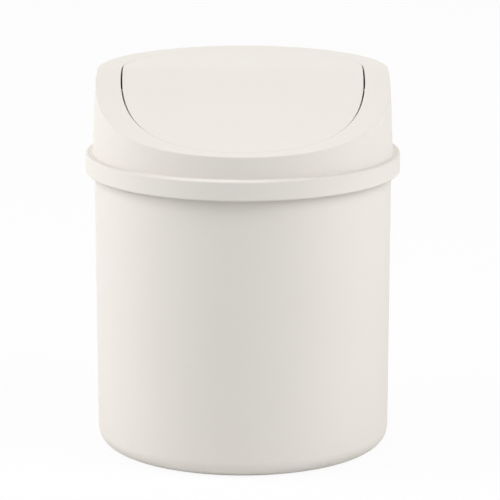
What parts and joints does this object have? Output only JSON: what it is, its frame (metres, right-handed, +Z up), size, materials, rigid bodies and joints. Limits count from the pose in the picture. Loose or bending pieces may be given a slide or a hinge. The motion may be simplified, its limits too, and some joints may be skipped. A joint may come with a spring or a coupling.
{
  "type": "countertop trash can",
  "caption": "Small round countertop bin: a tapered bucket, a slip-on lid with a swept top, and a swing flap that pivots on side pins.",
  "frame": {"origin": "centre of the underside, on the surface the bin stands on", "axes": "+Z up along the bin's axis, -Y the front where the top is lowest, X along the flap's hinge"},
  "size_m": [0.1376, 0.1376, 0.167],
  "materials": {
    "bucket_plastic": "fine satin moulded texture, warm cream",
    "lid_plastic": "fine satin moulded texture, warm cream",
    "flap_plastic": "fine satin moulded texture, warm cream"
  },
  "bodies": {
    "bucket": {"bucket": "bucket_plastic"},
    "lid": {"lid_hood": "lid_plastic"},
    "flap": {"swing_flap": "flap_plastic"}
  },
  "joints": [
    {"name": "lid_lift", "type": "slide", "parent": "bucket", "child": "lid", "axis": [0, 0, 1], "range_m": [0, 0.06]},
    {"name": "flap_swing", "type": "hinge", "parent": "lid", "child": "flap", "pos_m": [0, -0.005, 0.1573], "axis": [1, 0, 0], "range_deg": [0, 70]}
  ]
}
